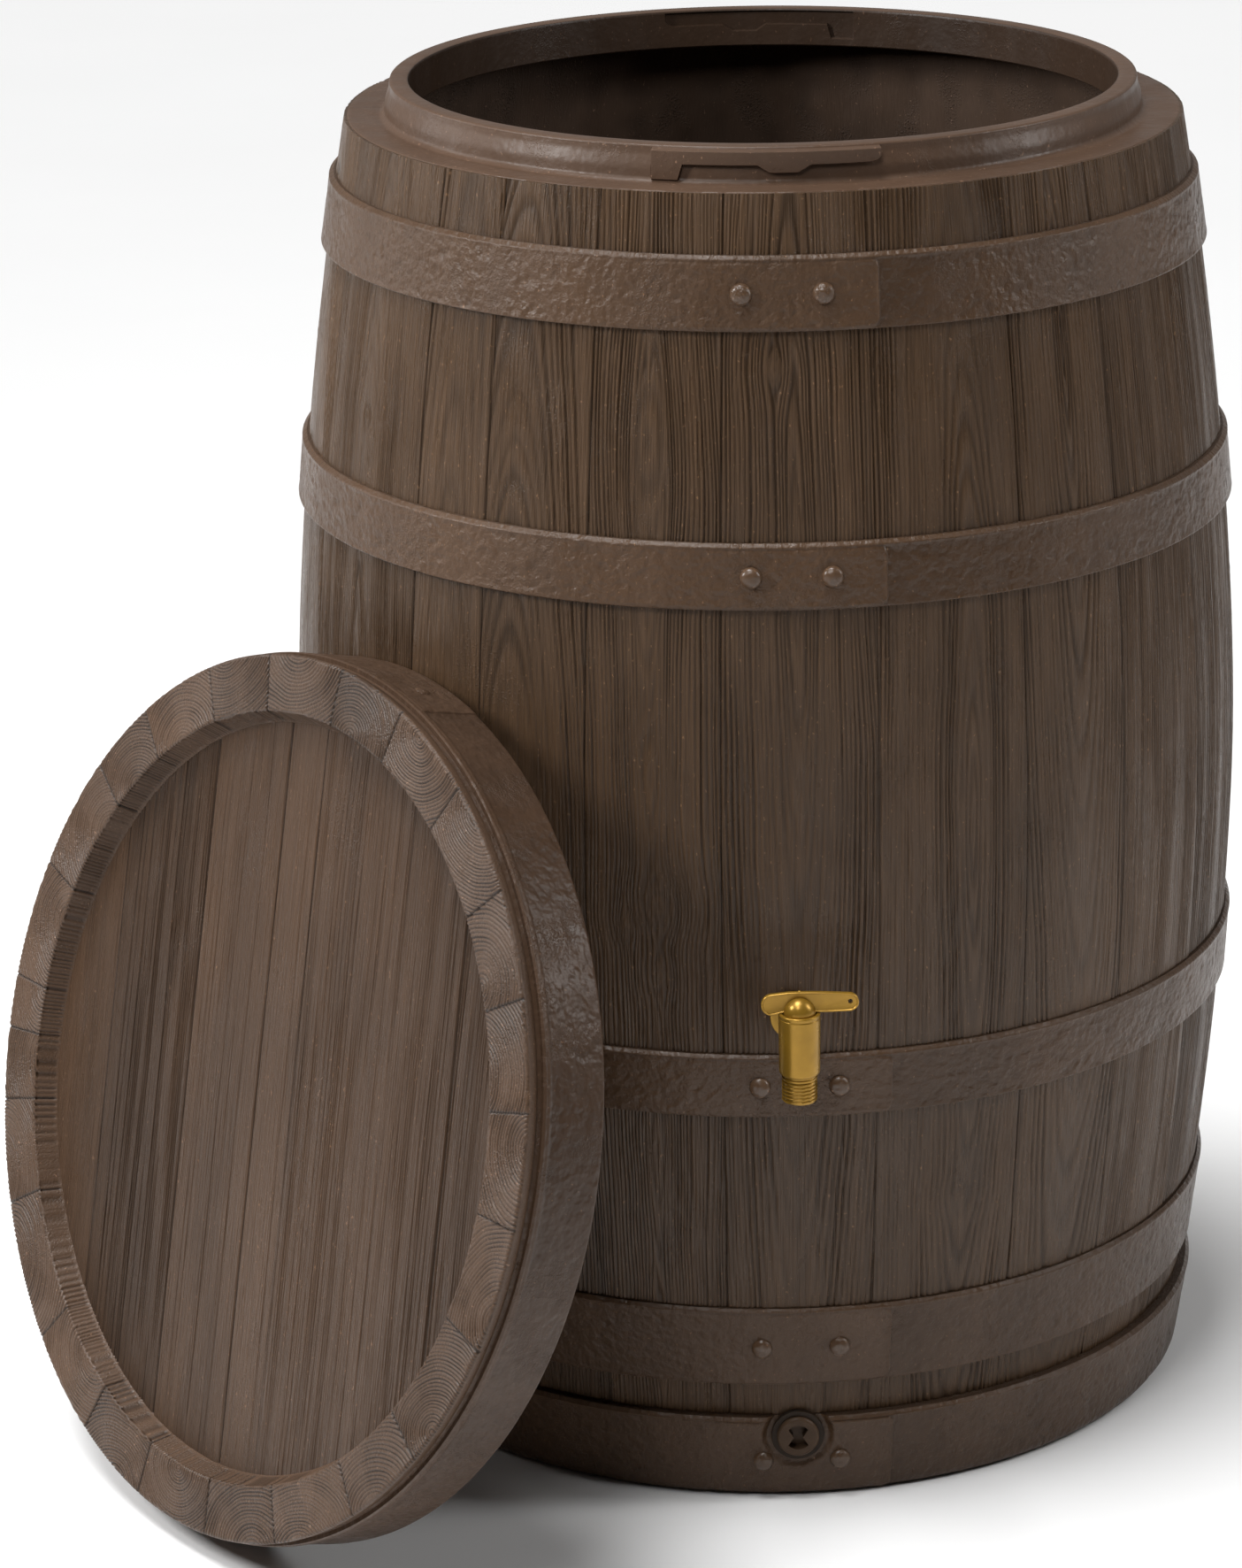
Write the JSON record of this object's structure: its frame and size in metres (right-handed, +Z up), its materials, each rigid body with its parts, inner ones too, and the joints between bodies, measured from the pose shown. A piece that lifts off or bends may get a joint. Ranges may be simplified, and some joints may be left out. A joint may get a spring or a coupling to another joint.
{
  "type": "rain barrel",
  "caption": "Wood-look moulded rain barrel with raised hoops, an open neck, a round lid leaning beside it, a brass-coloured quarter-turn tap and a screwed drain plug.",
  "frame": {"origin": "centre of the barrel's flat base, on the surface it stands on", "axes": "+Z up along the barrel's axis, -Y towards the front with the tap"},
  "size_m": [0.9949, 1.0044, 1.056],
  "materials": {
    "barrel_plastic": "moulded brown plastic with carved wood grain and hammered hoops",
    "lid_plastic": "moulded brown plastic with carved boards and end-grain blocks",
    "tap_gold": "brass-coloured satin plastic",
    "seal_rubber": "black rubber",
    "drain_plastic": "dark moulded plastic",
    "plug_plastic": "brown moulded plastic"
  },
  "bodies": {
    "barrel": {"barrel_shell": "barrel_plastic", "tap_body": "tap_gold", "tap_gasket": "seal_rubber", "tap_washer": "seal_rubber", "tap_backnut": "tap_gold", "drain_bush": "drain_plastic", "drain_gasket": "seal_rubber", "drain_backnut": "drain_plastic"},
    "lid": {"lid": "lid_plastic"},
    "tap_valve": {"tap_plug": "tap_gold", "tap_lever": "tap_gold", "tap_oring_upper": "seal_rubber", "tap_oring_lower": "seal_rubber"},
    "drain_seal": {"drain_oring": "seal_rubber"},
    "drain_screw": {"drain_plug": "plug_plastic"}
  },
  "joints": [
    {"name": "lid_lift", "type": "slide", "parent": "barrel", "child": "lid", "axis": [-0.5476, -0.4474, 0.7071], "range_m": [0, 0.6]},
    {"name": "tap_turn", "type": "hinge", "parent": "barrel", "child": "tap_valve", "pos_m": [0.02431, -0.43482, 0.417], "axis": [0, 0, -1], "range_deg": [0, 90]},
    {"name": "drain_travel", "type": "slide", "parent": "barrel", "child": "drain_seal", "axis": [0.0663, -0.9978, 0], "range_m": [0, 0.0127]},
    {"name": "drain_turn", "type": "hinge", "parent": "drain_seal", "child": "drain_screw", "pos_m": [0.02339, -0.35222, 0.055], "axis": [0.0663, -0.9978, 0], "range_deg": [0, 2520]}
  ],
  "couplings": [
    {"joint": "drain_travel", "follows": "drain_turn", "m_per_rad": 0.00028871}
  ]
}
